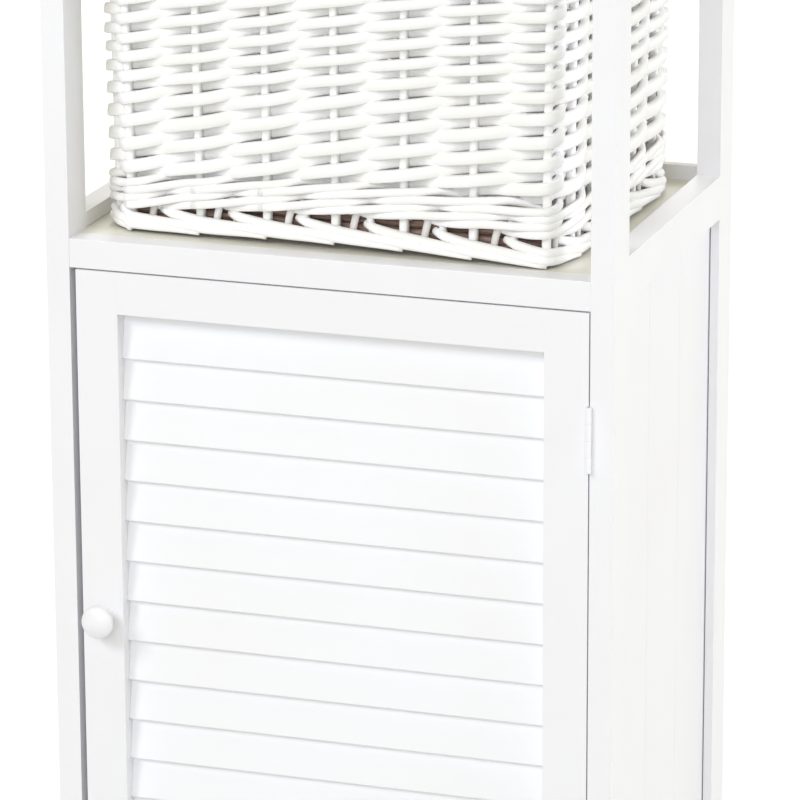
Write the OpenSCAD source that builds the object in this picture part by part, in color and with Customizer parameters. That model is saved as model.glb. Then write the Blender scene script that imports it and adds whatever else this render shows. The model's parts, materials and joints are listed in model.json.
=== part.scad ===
// Free-standing bathroom storage tower in painted wood.
// Four posts carry front, side and rear rails at four levels. The lowest bay is a cupboard with
// tongue-and-groove sides and a louvred door, the middle bay is open and holds a wicker basket,
// and the upper bay is an open shelf under the top board.
// Lengths are millimetres. Each piece is drawn from the front left corner of the frame, with X to
// the right, Y to the back and Z up from the floor, and placed() then centres the whole tower.

/* [Tower] */
// Width over the outer faces of the posts
tower_w = 400; // [340:1:520]
// Depth from the front of the posts to their back
tower_d = 290; // [250:1:400]
// Height from the floor to the top face of the top board
tower_h = 1050; // [980:1:1400]

/* [Levels] */
// Free height between the floor and the lowest rails
leg_h = 40; // [20:1:120]
// Height of the door opening between the front rails
door_opening_h = 470; // [400:1:560]
// Clear height of the basket bay, from its shelf to the front rail above
basket_bay_h = 265; // [200:1:300]

/* [Posts and rails] */
// Post size across the front
post_w = 16.7; // [16:0.1:24]
// Post size from front to back
post_d = 31.6; // [30:0.1:44]
// Thickness of the front rails
front_rail_t = 16.7; // [14:0.1:22]
// Height of the front rails
front_rail_h = 20.2; // [18:0.1:30]
// Height of the side and rear rails
side_rail_h = 30.9; // [30:0.1:45]
// Thickness of the rear rails
rear_rail_t = 8; // [7:0.1:14]
// Length of the stub tenons on the rear rails
rear_tenon_l = 8; // [4:0.5:12]
// Thickness of the stub tenons on the rear rails
rear_tenon_t = 3; // [2:0.5:4]
// Height of the shoulders above and below those tenons
rear_tenon_shoulder = 7.5; // [7:0.5:10]

/* [Boards] */
// Thickness of the top board
top_board_t = 15; // [13:0.5:25]
// Overhang of the top board at the front and the sides
top_overhang = 8; // [0:0.5:14]
// Thickness of the fixed shelves and the cupboard floor
shelf_t = 12; // [8:0.5:14]
// Depth of the grooves in the side rails that hold the fixed shelves
shelf_groove = 5; // [3:0.5:5]
// Thickness of the loose shelf inside the cupboard
inner_shelf_t = 12; // [8:0.5:18]
// Height of the loose shelf's underside above the cupboard floor
inner_shelf_up = 235; // [60:1:300]
// Gap between the loose shelf's ends and the posts
inner_shelf_end_gap = 1; // [0.5:0.1:3]
// Gap between the loose shelf and the closed door
inner_shelf_door_gap = 1.8; // [1:0.1:2.5]

/* [Side panels] */
// Thickness of the tongue-and-groove boards
panel_t = 8; // [6:0.5:8]
// Recess of the boards behind the outer faces of the posts
panel_recess = 7; // [3:0.5:7]
// Depth of the grooves that hold the boards in the posts and rails
panel_groove = 5; // [3:0.5:5]
// Extra width of those grooves outside the boards
panel_groove_play = 0.8; // [0.2:0.1:1.2]
// Reach of the tongues
tongue_l = 4; // [3:0.5:6]
// Thickness of the tongues
tongue_t = 2.6; // [2:0.1:3]
// Open joint between neighbouring boards
board_gap = 0.4; // [0.2:0.1:1]

/* [Back panel] */
// Thickness of the back panel
back_t = 4; // [3:0.5:5]
// Width of the rebate that takes the back panel's edges
back_rebate = 6; // [4:0.5:7]
// Radius of the back panel's pins
back_pin_r = 0.7; // [0.6:0.1:1]
// Radius of the heads of those pins
back_pin_head_r = 1.6; // [1.4:0.1:2]
// Thickness of the heads of those pins
back_pin_head_t = 0.6; // [0.5:0.1:1]
// Length of the pins under the head
back_pin_l = 12; // [8:1:16]
// Number of pins up each edge
back_pin_count = 5; // [3:1:9]
// Distance of the end pins from the panel's corners
back_pin_end = 30; // [16:1:60]

/* [Door] */
// Thickness of the door frame
door_t = 20; // [19:0.5:21]
// Gap above the closed door
door_top_gap = 1; // [0.5:0.1:3]
// Gap below the closed door
door_bottom_gap = 1.5; // [0.5:0.1:3]
// Gap between the door and the post on the hinge side
door_hinge_gap = 0.9; // [0.6:0.1:1.4]
// Gap between the door and the post on the knob side
door_knob_gap = 4.4; // [2:0.1:6]
// Width of the door stile that carries the hinges
hinge_stile_w = 30.7; // [26:0.1:50]
// Width of the door stile that carries the knob
knob_stile_w = 29.6; // [26:0.1:50]
// Height of the door's top and bottom rails
door_rail_h = 29.2; // [24:0.1:50]
// Length of the stub tenons on the door rails
door_tenon_l = 10; // [6:0.5:14]
// Thickness of those tenons
door_tenon_t = 7; // [5:0.5:8]
// Height of the shoulders above and below those tenons
door_tenon_shoulder = 6; // [4:0.5:8]

/* [Louvre] */
// Width of one slat, measured along its face
slat_w = 33; // [31:0.5:36]
// Thickness of one slat
slat_t = 5; // [4:0.1:6]
// Lean of the slats from upright, with their lower edges to the front
slat_tilt = 10.5; // [9.5:0.5:14]
// Recess of the slats' lower front edges behind the door's face
slat_recess = 7.5; // [5:0.5:8]
// Largest spacing from slat to slat
slat_pitch_max = 28.9; // [26:0.1:29]
// Gap between the end slats and the door rails
slat_end_gap = 0.5; // [0.3:0.1:2]
// Depth of the housings in the stiles that hold the slats' ends
slat_housing = 6; // [4:0.5:8]

/* [Hinges] */
// Height of one hinge knuckle
knuckle_h = 11.3; // [9:0.1:15]
// Outer radius of the knuckles
knuckle_r = 2.3; // [2.2:0.05:2.6]
// Radius of the hinge pin
hinge_pin_r = 1; // [0.8:0.05:1.1]
// Thickness of the hinge leaves
leaf_t = 1; // [0.8:0.1:1.2]
// Width of a leaf, from the knuckles to its inner edge
leaf_w = 18; // [15:0.5:19]
// Gap between the two leaves when the door is closed
leaf_gap = 0.2; // [0.1:0.05:0.4]
// Distance of the knuckles' axis in front of the door's face
hinge_forward = 2.4; // [2.4:0.1:3]
// Distance from the door's ends to the hinges
hinge_inset = 63.2; // [50:0.1:90]
// Radius of the hinge screws
hinge_screw_r = 1.3; // [1.2:0.1:1.5]
// Radius of the hinge screws' heads
hinge_screw_head_r = 2.6; // [2.3:0.1:3]
// Length of the hinge screws
hinge_screw_l = 12; // [10:0.5:14]
// Distance between the two screws of one leaf
hinge_screw_pitch = 26; // [20:0.5:30]

/* [Knob] */
// Radius of the knob's head
knob_r = 11.5; // [8:0.5:14]
// Projection of the knob from the door's face
knob_h = 18; // [16:0.5:30]
// Thickness of the knob's head at its rim
knob_rim_t = 6.5; // [4:0.5:8]
// Rise of the domed face above the rim
knob_dome = 2.2; // [1:0.2:4]
// Radius of the knob's neck
knob_neck_r = 5.8; // [5:0.2:7]
// Radius of the knob's foot on the door
knob_foot_r = 7.2; // [6:0.2:8]
// Distance of the knob's axis from the door's edge
knob_in = 15.4; // [13:0.1:20]
// Height of the knob's axis above the door's lower edge
knob_up = 221.5; // [200:0.5:225]
// Radius of the knob's screw
knob_screw_r = 2; // [1.5:0.1:2.5]
// Radius of the screw's head
knob_screw_head_r = 4; // [3:0.1:5]
// Thickness of the screw's head
knob_screw_head_t = 1.4; // [1:0.1:1.6]
// Reach of the screw into the knob
knob_screw_reach = 10; // [6:0.5:13]

/* [Catch] */
// Distance of the catch's centre from the inner face of the left post
catch_in = 48; // [40:1:80]
// Width of the magnet's housing
catch_w = 26; // [20:1:32]
// Depth of the magnet's housing
catch_d = 15; // [13:0.5:20]
// Height of the catch below the shelf
catch_h = 18; // [16:0.5:20]
// Length of each screw ear beside the housing
catch_ear = 10; // [9:0.5:14]
// Thickness of the screw ears
catch_ear_t = 3; // [2:0.5:5]
// Width of the magnet
magnet_w = 20; // [14:0.5:24]
// Height of the magnet
magnet_h = 6; // [4:0.5:8]
// Depth of the magnet in its housing
magnet_d = 9; // [6:0.5:11]
// Wall of the housing under the magnet
magnet_wall = 1.5; // [1:0.1:3]
// Reach of the magnet out of its housing
magnet_proud = 0.6; // [0.3:0.1:1]
// Thickness of the strike plate on the door
strike_t = 1; // [0.8:0.1:1.4]
// Width of the strike plate
strike_w = 34; // [28:1:44]
// Height of the strike plate
strike_h = 12; // [10:0.5:14]
// Radius of the catch and strike screws
catch_screw_r = 1.4; // [1.2:0.1:1.6]
// Radius of those screws' heads
catch_screw_head_r = 2.7; // [2.4:0.1:3]
// Thickness of those screws' heads
catch_screw_head_t = 1.2; // [1:0.1:1.6]
// Reach of those screws into the wood
catch_screw_reach = 7; // [5:0.5:8]

/* [Dowels, pegs and feet] */
// Radius of the frame dowels
dowel_r = 3; // [2.5:0.1:3]
// Reach of a dowel into a post, or upwards into the top board
dowel_in_post = 10; // [8:0.5:10]
// Reach of a dowel into a rail, or downwards into a post's top
dowel_in_rail = 14; // [10:0.5:14]
// Distance between the two dowels of a side rail joint
side_dowel_pitch = 14; // [13:0.5:14.5]
// Radius of the pegs under the loose shelf
peg_r = 2.5; // [2:0.1:2.5]
// Reach of a peg into its post, and out of it
peg_reach = 8; // [6:0.5:9]
// Radius of the plastic foot glides
glide_r = 7; // [5:0.5:8]
// Thickness of the foot glides
glide_t = 3; // [2:0.5:6]
// Radius of a glide's nail
glide_nail_r = 1.2; // [1:0.1:1.5]
// Length of a glide's nail
glide_nail_l = 12; // [8:0.5:16]

/* [Basket] */
// Gap from the basket's woven sides to the posts
basket_side_gap = 16.8; // [12:0.1:40]
// Gap from the woven front to the front of the posts
basket_front_gap = 22.5; // [12:0.5:60]
// Gap from the woven back to the rear rail
basket_rear_gap = 17; // [12:0.5:60]
// Room above the basket, to the front rail
basket_head_room = 38; // [20:0.5:120]
// Distance that the basket stands off the tower's centre line
basket_shift = -4.5; // [-5:0.5:5]
// Turn of the basket seen from above
basket_yaw = -2; // [-2:0.5:2]
// Outer corner radius of the woven sides
basket_corner_r = 23.5; // [10:0.5:40]
// Thickness of the woven sides
basket_wall_t = 13; // [11:0.5:16]
// Height of the open band between the foot border and the waling
open_band_h = 4.6; // [2:0.1:10]
// Height of the close band of waling that the woven rows start on
wale_h = 20; // [12:0.5:26]
// Reach of the waling beyond the woven rows
wale_out = 1.5; // [0.5:0.1:3]
// Height of a woven rod at its thick end, in the lower rows
thick_rod_h = 7.8; // [6:0.05:9]
// Height of a woven rod at its thin end, in the upper rows
thin_rod_h = 6.55; // [5:0.05:8]
// Number of lower rows that show the thick ends
thick_rows = 9; // [6:1:12]
// Thickness of a woven rod, across the wall
rod_t = 5.2; // [4:0.1:6]
// Distance from stake to stake along the front and the back
long_stake_step = 49.5; // [40:0.1:60]
// Distance from stake to stake along the sides
short_stake_step = 43.5; // [36:0.1:50]
// Distance that the front stakes stand to the right of the basket's middle
stake_shift = 5.5; // [0:0.5:6]
// Distance that the side stakes stand behind the basket's middle
side_stake_shift = -3; // [-14:0.1:14]
// Reach of the foot border beyond the woven sides
foot_border_out = 4; // [2:0.5:6]
// Height of the foot border
foot_border_h = 18; // [14:1:30]
// Thickness of the foot border
foot_border_t = 15; // [12:0.5:18]
// Reach of the top border beyond the woven sides
top_border_out = 4; // [2:0.5:6]
// Height of the top border
top_border_h = 20; // [12:1:30]
// Thickness of the top border
top_border_t = 22; // [20:0.5:26]
// Thickness of the woven base
basket_base_t = 10; // [6:0.5:14]

/* [Clearances] */
// Radial play of dowels, pegs, nails and screws in their holes
hole_play = 0.03; // [0.02:0.01:0.08]
// Radial play of the hinge pins in the knuckles
pin_play = 0.05; // [0.02:0.01:0.09]
// Play between neighbouring knuckles
knuckle_play = 0.15; // [0.05:0.05:0.3]
// Play at the ends and sides of tongues, tenons and housed boards
joint_play = 0.3; // [0.1:0.05:0.5]
// Empty depth past the end of a dowel, peg, nail or screw
end_play = 0.5; // [0.2:0.1:0.9]
// Play round a leaf in its mortise
mortise_play = 0.1; // [0.05:0.05:0.3]
// Gap between the magnet and the strike plate when the door is closed
strike_gap = 0.3; // [0.1:0.1:0.6]
// Gap under the basket and under the loose shelf
rest_gap = 0.3; // [0.1:0.1:0.5]

/* [Hidden] */
$fn = 48;

// Colours
paint = "whitesmoke";
slat_paint = "white";
bare_wood = "burlywood";
board_brown = "tan";
steel = "silver";
plastic = "gainsboro";
magnet_grey = "dimgray";
wicker = "ivory";

// A cut reaches this far past the face that it opens
cut = 1;
// Smallest corner radius inside the basket
basket_tight_r = 1;

// Heights, from the floor up
z_bottom_rail = leg_h;
z_floor = z_bottom_rail + front_rail_h;
z_shelf_rail = z_floor + door_opening_h;
z_shelf = z_shelf_rail + front_rail_h;
z_upper_rail = z_shelf + basket_bay_h;
z_upper = z_upper_rail + front_rail_h;
z_top = tower_h - top_board_t;
z_top_side_rail = z_top - side_rail_h;
side_rail_levels = [z_bottom_rail, z_shelf_rail, z_upper_rail, z_top_side_rail];
front_rail_levels = [z_bottom_rail, z_shelf_rail, z_upper_rail, z_top - front_rail_h];

// Plan of the frame
inner_r = tower_w - post_w;
rear_post_y = tower_d - post_d;
rear_rail_y = tower_d - rear_rail_t;
side_len = rear_post_y - post_d;
mid_y = (tower_d - max(knob_h, top_overhang, hinge_forward + knuckle_r)) / 2;

// Side panels between the bottom and the shelf rails
z_panel_low = z_bottom_rail + side_rail_h;
z_panel_high = z_shelf_rail;
board_w = side_len / 3;
panel_hold = panel_groove - joint_play;

// Back panel
z_back_low = z_bottom_rail + side_rail_h - back_rebate;
z_back_high = z_shelf_rail + back_rebate;
back_y = tower_d - back_t;

// Door
door_l = post_w + door_knob_gap;
door_r = inner_r - door_hinge_gap;
door_z = z_floor + door_bottom_gap;
door_top = z_shelf_rail - door_top_gap;
field_l = door_l + knob_stile_w;
field_r = door_r - hinge_stile_w;
field_low = door_z + door_rail_h;
field_high = door_top - door_rail_h;

// Louvre: the slats share the field between the end gaps evenly
slat_first = field_high - slat_end_gap - slat_w * cos(slat_tilt);
slat_last = field_low + slat_end_gap + slat_t * sin(slat_tilt);
slat_count = 1 + ceil((slat_first - slat_last) / slat_pitch_max);
slat_pitch = (slat_first - slat_last) / (slat_count - 1);

// Hinges
hinge_x = inner_r - door_hinge_gap / 2;
hinge_y = -hinge_forward;
knuckle_count = 4;
hinge_h = knuckle_count * knuckle_h;
upper_hinge_z = door_top - hinge_inset - hinge_h;
lower_hinge_z = door_z + hinge_inset;
leaf_depth = (leaf_gap - door_hinge_gap) / 2 + leaf_t;

// Knob
knob_x = door_l + knob_in;
knob_z = door_z + knob_up;

// Catch
catch_x = post_w + catch_in;
catch_top = z_shelf - shelf_t;
magnet_y = door_t + strike_t + strike_gap;
catch_y = magnet_y + magnet_proud;
magnet_z = catch_top - catch_h + magnet_wall;
strike_z = magnet_z + magnet_h / 2 - strike_h / 2;

// Loose shelf and its pegs
inner_shelf_z = z_floor + inner_shelf_up;
inner_shelf_y = door_t + inner_shelf_door_gap;
peg_z = inner_shelf_z - rest_gap - peg_r;
front_peg_y = post_d - panel_groove - end_play - peg_r - 1;
rear_peg_y = rear_post_y + panel_groove + end_play + peg_r + 1;

// Basket
basket_w = inner_r - post_w - 2 * basket_side_gap;
basket_d = rear_rail_y - basket_front_gap - basket_rear_gap;
basket_h = basket_bay_h - basket_head_room;
basket_x = tower_w / 2 + basket_shift;
basket_y = basket_front_gap + basket_d / 2;
basket_z = z_shelf + rest_gap;

// Woven walls: the stakes stand on a middle line, and the rods pass before and behind them
wale_z = foot_border_h + open_band_h;
woven_z = wale_z + wale_h;
woven_h = basket_h - woven_z - top_border_h;
row_count = thick_rows + floor((woven_h - thick_rows * thick_rod_h) / thin_rod_h);
bulge_out = basket_wall_t / 2;
bulge_root = rod_t / 2 - 0.6;
line_w = basket_w - basket_wall_t;
line_d = basket_d - basket_wall_t;
line_r = basket_corner_r - basket_wall_t / 2;
line_front = line_w - 2 * line_r;
line_side = line_d - 2 * line_r;
line_arc = PI / 2 * line_r;
half_line = line_front + line_side + 2 * line_arc;
long_stakes = 1 + 2 * floor((line_w / 2 - stake_shift) / long_stake_step);
short_stakes = 1 + 2 * floor((line_d / 2 - abs(side_stake_shift)) / short_stake_step);
half_stakes = long_stakes + short_stakes;

// Every piece, moved so that the origin is on the floor under the middle of the whole tower
module placed() {
    translate([-tower_w / 2, -mid_y, 0]) children();
}

// Children as drawn on the left side, or mirrored to the right side
module on_side(right) {
    if (right) translate([tower_w, 0, 0]) mirror([1, 0, 0]) children();
    else children();
}

// Round bar or hole along +X from a point, and the same along +Y
module bar_x(at, r, l) {
    translate(at) rotate([0, 90, 0]) cylinder(r = r, h = l);
}
module bar_y(at, r, l) {
    translate(at) rotate([-90, 0, 0]) cylinder(r = r, h = l);
}

// ---- Dowels: one call places every dowel of the left side, another the holes for them ----

// Dowel along +X across the joint of a front rail and a left post
module front_dowel(z, play, extra) {
    at = [post_w - dowel_in_post - extra, front_rail_t / 2, z + front_rail_h / 2];
    bar_x(at, dowel_r + play, dowel_in_post + dowel_in_rail + 2 * extra);
}
// Pair of dowels along Y across the joint of a side rail and a post
module side_dowels(z, rear, play, extra) {
    y = rear ? rear_post_y - dowel_in_rail : post_d - dowel_in_post;
    for (s = [-1, 1])
        bar_y([post_w / 2, y - extra, z + side_rail_h / 2 + s * side_dowel_pitch / 2],
              dowel_r + play, dowel_in_post + dowel_in_rail + 2 * extra);
}
// Dowel from a post's top into the top board
module top_dowel(rear, play, extra) {
    y = rear ? rear_post_y + post_d / 2 : post_d / 2;
    translate([post_w / 2, y, z_top - dowel_in_rail - extra])
        cylinder(r = dowel_r + play, h = dowel_in_rail + dowel_in_post + 2 * extra);
}
module left_dowels(play = 0, extra = 0) {
    for (z = front_rail_levels) front_dowel(z, play, extra);
    for (z = side_rail_levels, rear = [false, true]) side_dowels(z, rear, play, extra);
    for (rear = [false, true]) top_dowel(rear, play, extra);
}
module left_dowel_holes() {
    left_dowels(hole_play, end_play);
}

// ---- Pegs, feet and pins that sit in the posts ----

module left_pegs(play = 0, extra = 0) {
    for (y = [front_peg_y, rear_peg_y])
        bar_x([post_w - peg_reach - extra, y, peg_z], peg_r + play, 2 * peg_reach + extra);
}
module left_glide_nails(play = 0, extra = 0) {
    for (y = [post_d / 2, rear_post_y + post_d / 2])
        translate([post_w / 2, y, glide_t - cut])
            cylinder(r = glide_nail_r + play, h = cut + glide_nail_l + extra);
}
module left_back_pins(play = 0, extra = 0) {
    run = z_back_high - z_back_low - 2 * back_pin_end;
    for (i = [0 : back_pin_count - 1])
        bar_y([post_w - back_rebate / 2, tower_d - back_pin_l - extra,
               z_back_low + back_pin_end + i * run / (back_pin_count - 1)],
              back_pin_r + play, back_pin_l + extra + play);
}

// ---- Grooves for the side panels ----

// Space that the left panel takes, with its play, between the two posts and the two rails
module left_panel_space() {
    translate([panel_recess - panel_groove_play, post_d - panel_groove, z_panel_low - panel_groove])
        cube([panel_t + panel_groove_play, side_len + 2 * panel_groove,
              z_panel_high - z_panel_low + 2 * panel_groove]);
}

// ---- Posts ----

module post_body(y) {
    translate([0, y, glide_t]) cube([post_w, post_d, z_top - glide_t]);
}
module left_front_post() {
    difference() {
        post_body(0);
        left_panel_space();
        left_dowel_holes();
        left_pegs(hole_play, end_play);
        left_glide_nails(hole_play, end_play);
    }
}
module left_rear_post() {
    difference() {
        post_body(rear_post_y);
        left_panel_space();
        left_dowel_holes();
        left_pegs(hole_play, end_play);
        left_glide_nails(hole_play, end_play);
        left_back_pins(hole_play, end_play);
        translate([post_w - back_rebate, back_y, z_back_low])
            cube([back_rebate + cut, back_t + cut, z_back_high - z_back_low]);
        for (z = side_rail_levels) rear_tenon(z, joint_play);
    }
}
module front_left_post() {
    color(paint) placed() left_front_post();
}
module front_right_post() {
    color(paint) placed() difference() {
        on_side(true) left_front_post();
        for (z = [upper_hinge_z, lower_hinge_z]) {
            frame_leaf_plate(z, mortise_play);
            frame_leaf_screws(z, hole_play, end_play);
        }
    }
}
module rear_left_post() {
    color(paint) placed() left_rear_post();
}
module rear_right_post() {
    color(paint) placed() on_side(true) left_rear_post();
}

// ---- Front rails ----

module front_rail(z) {
    color(paint) placed() difference() {
        translate([post_w, 0, z]) cube([inner_r - post_w, front_rail_t, front_rail_h]);
        left_dowel_holes();
        on_side(true) left_dowel_holes();
    }
}
module bottom_front_rail() { front_rail(front_rail_levels[0]); }
module shelf_front_rail() { front_rail(front_rail_levels[1]); }
module upper_front_rail() { front_rail(front_rail_levels[2]); }
module top_front_rail() { front_rail(front_rail_levels[3]); }

// ---- Side rails ----

module side_rail(z, right) {
    color(paint) placed() on_side(right) difference() {
        translate([0, post_d, z]) cube([post_w, side_len, side_rail_h]);
        left_panel_space();
        left_dowel_holes();
        for (top = [z_floor, z_shelf, z_upper]) shelf_ear_space(top);
    }
}
module bottom_left_rail() { side_rail(side_rail_levels[0], false); }
module shelf_left_rail() { side_rail(side_rail_levels[1], false); }
module upper_left_rail() { side_rail(side_rail_levels[2], false); }
module top_left_rail() { side_rail(side_rail_levels[3], false); }
module bottom_right_rail() { side_rail(side_rail_levels[0], true); }
module shelf_right_rail() { side_rail(side_rail_levels[1], true); }
module upper_right_rail() { side_rail(side_rail_levels[2], true); }
module top_right_rail() { side_rail(side_rail_levels[3], true); }

// ---- Rear rails ----

// Stub tenons of a rear rail at both ends, or their mortises when given some play
module rear_tenon(z, play = 0) {
    reach = rear_tenon_l + play;
    translate([post_w - reach, rear_rail_y + (rear_rail_t - back_t - rear_tenon_t) / 2 - play / 2,
               z + rear_tenon_shoulder - play / 2])
        cube([inner_r - post_w + 2 * reach, rear_tenon_t + play,
              side_rail_h - 2 * rear_tenon_shoulder + play]);
}
module rear_rail(z) {
    color(paint) placed() union() {
        difference() {
            translate([post_w, rear_rail_y, z]) cube([inner_r - post_w, rear_rail_t, side_rail_h]);
            translate([0, back_y, z_back_low])
                cube([tower_w, back_t + cut, z_back_high - z_back_low]);
        }
        rear_tenon(z);
    }
}
module bottom_rear_rail() { rear_rail(side_rail_levels[0]); }
module shelf_rear_rail() { rear_rail(side_rail_levels[1]); }
module upper_rear_rail() { rear_rail(side_rail_levels[2]); }
module top_rear_rail() { rear_rail(side_rail_levels[3]); }

// ---- Fixed shelves and the top board ----

// Groove in the left side rail for a shelf whose upper face is at this height
module shelf_ear_space(top) {
    translate([post_w - shelf_groove, post_d, top - shelf_t])
        cube([shelf_groove + cut, side_len, shelf_t + joint_play]);
}
module fixed_shelf(top) {
    ear = shelf_groove - joint_play;
    color(paint) placed() difference() {
        union() {
            translate([post_w, front_rail_t, top - shelf_t])
                cube([inner_r - post_w, rear_rail_y - front_rail_t, shelf_t]);
            translate([post_w - ear, post_d, top - shelf_t])
                cube([inner_r - post_w + 2 * ear, side_len, shelf_t]);
        }
        catch_screw_shanks(hole_play, end_play);
    }
}
module cupboard_floor() { fixed_shelf(z_floor); }
module basket_shelf() { fixed_shelf(z_shelf); }
module upper_shelf() { fixed_shelf(z_upper); }

module top_board() {
    color(paint) placed() difference() {
        translate([-top_overhang, -top_overhang, z_top])
            cube([tower_w + 2 * top_overhang, tower_d + top_overhang, top_board_t]);
        left_dowel_holes();
        on_side(true) left_dowel_holes();
    }
}

// ---- Loose shelf in the cupboard ----

module inner_shelf() {
    x = post_w + inner_shelf_end_gap;
    color(paint) placed() translate([x, inner_shelf_y, inner_shelf_z])
        cube([tower_w - 2 * x, rear_rail_y - joint_play - inner_shelf_y, inner_shelf_t]);
}
module shelf_pegs() {
    color(bare_wood) placed() {
        left_pegs();
        on_side(true) left_pegs();
    }
}

// ---- Tongue-and-groove side panels ----

// Board 0, 1 or 2 of the left panel, from the front
module left_board(i) {
    front = i == 0 ? -panel_hold : board_gap / 2;
    rear = i == 2 ? panel_hold : -board_gap / 2;
    z = z_panel_low - panel_hold;
    h = z_panel_high + panel_hold - z;
    core_x = panel_recess + (panel_t - tongue_t) / 2;
    difference() {
        union() {
            translate([panel_recess, post_d + i * board_w + front, z])
                cube([panel_t, board_w + rear - front, h]);
            if (i < 2)
                translate([core_x, post_d + (i + 1) * board_w - board_gap, z])
                    cube([tongue_t, tongue_l + board_gap, h]);
        }
        if (i > 0)
            translate([core_x - joint_play / 2, post_d + i * board_w - cut, z - cut])
                cube([tongue_t + joint_play, cut + tongue_l + joint_play, h + 2 * cut]);
    }
}
module panel_board(i, right) {
    color(paint) placed() on_side(right) left_board(i);
}
module left_front_panel_board() { panel_board(0, false); }
module left_middle_panel_board() { panel_board(1, false); }
module left_rear_panel_board() { panel_board(2, false); }
module right_front_panel_board() { panel_board(0, true); }
module right_middle_panel_board() { panel_board(1, true); }
module right_rear_panel_board() { panel_board(2, true); }

// ---- Back panel ----

module back_panel() {
    x = post_w - back_rebate + joint_play;
    color(board_brown) placed() difference() {
        translate([x, back_y, z_back_low + joint_play])
            cube([tower_w - 2 * x, back_t, z_back_high - z_back_low - 2 * joint_play]);
        left_back_pins(hole_play, end_play);
        on_side(true) left_back_pins(hole_play, end_play);
    }
}
module left_back_pin_heads() {
    run = z_back_high - z_back_low - 2 * back_pin_end;
    for (i = [0 : back_pin_count - 1])
        bar_y([post_w - back_rebate / 2, tower_d,
               z_back_low + back_pin_end + i * run / (back_pin_count - 1)],
              back_pin_head_r, back_pin_head_t);
}
module back_panel_pins() {
    color(steel) placed() for (right = [false, true]) on_side(right) {
        left_back_pins();
        left_back_pin_heads();
    }
}

// ---- Dowels and foot glides ----

module frame_dowels() {
    color(bare_wood) placed() {
        left_dowels();
        on_side(true) left_dowels();
    }
}
module foot_glides() {
    color(plastic) placed() for (right = [false, true]) on_side(right) {
        for (y = [post_d / 2, rear_post_y + post_d / 2])
            translate([post_w / 2, y, 0]) cylinder(r = glide_r, h = glide_t);
        left_glide_nails();
    }
}

// ---- Door frame ----

module door_stile(x, w) {
    translate([x, 0, door_z]) cube([w, door_t, door_top - door_z]);
}
// Stub tenons of a door rail at both ends, or their mortises when given some play
module door_tenons(z, play = 0) {
    reach = door_tenon_l + play;
    translate([field_l - reach, (door_t - door_tenon_t - play) / 2, z + door_tenon_shoulder - play / 2])
        cube([field_r - field_l + 2 * reach, door_tenon_t + play,
              door_rail_h - 2 * door_tenon_shoulder + play]);
}
module door_mortises() {
    for (z = [door_z, field_high]) door_tenons(z, joint_play);
}
module door_knob_stile() {
    color(paint) placed() difference() {
        door_stile(door_l, knob_stile_w);
        door_mortises();
        slats(joint_play);
        bar_y([knob_x, -cut, knob_z], knob_screw_r + hole_play, door_t + 2 * cut);
        strike_screw_shanks(hole_play, end_play);
    }
}
module door_hinge_stile() {
    color(paint) placed() difference() {
        door_stile(field_r, hinge_stile_w);
        door_mortises();
        slats(joint_play);
        for (z = [upper_hinge_z, lower_hinge_z]) {
            door_leaf_plate(z, mortise_play);
            door_leaf_screws(z, hole_play, end_play);
        }
    }
}
module door_rail(z) {
    color(paint) placed() difference() {
        union() {
            translate([field_l, 0, z]) cube([field_r - field_l, door_t, door_rail_h]);
            door_tenons(z);
        }
        strike_screw_shanks(hole_play, end_play);
    }
}
module door_top_rail() { door_rail(field_high); }
module door_bottom_rail() { door_rail(door_z); }

// ---- Louvre slats, housed in the stiles ----

module slats(play = 0) {
    reach = slat_housing - (play > 0 ? 0 : joint_play);
    for (i = [0 : slat_count - 1])
        translate([field_l - reach, slat_recess, slat_first - i * slat_pitch])
            rotate([-slat_tilt, 0, 0])
                translate([0, -play / 2, -play / 2])
                    cube([field_r - field_l + 2 * reach, slat_t + play, slat_w + play]);
}
module louvre_slats() {
    color(slat_paint) placed() slats();
}

// ---- Hinges: knuckles 0 and 2 from below belong to the frame leaf, 1 and 3 to the door leaf ----

module knuckles(z, first) {
    for (i = [first : 2 : knuckle_count - 1])
        translate([hinge_x, hinge_y, z + i * knuckle_h + knuckle_play / 2])
            cylinder(r = knuckle_r, h = knuckle_h - knuckle_play);
}
// Room that the other leaf's knuckles turn in
module knuckle_room(z, first) {
    for (i = [first : 2 : knuckle_count - 1])
        translate([hinge_x, hinge_y, z + i * knuckle_h - knuckle_play / 2])
            cylinder(r = knuckle_r + knuckle_play + leaf_gap, h = knuckle_h + knuckle_play);
}
module frame_leaf_plate(z, play = 0) {
    translate([hinge_x + leaf_gap / 2 - play, hinge_y, z - play])
        cube([leaf_t + 2 * play, leaf_w - hinge_y + play, hinge_h + 2 * play]);
}
module door_leaf_plate(z, play = 0) {
    translate([hinge_x - leaf_gap / 2 - leaf_t - play, hinge_y, z - play])
        cube([leaf_t + 2 * play, leaf_w - hinge_y + play, hinge_h + 2 * play]);
}
module pin_hole(z) {
    translate([hinge_x, hinge_y, z - cut]) cylinder(r = hinge_pin_r + pin_play, h = hinge_h + 2 * cut);
}
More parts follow.
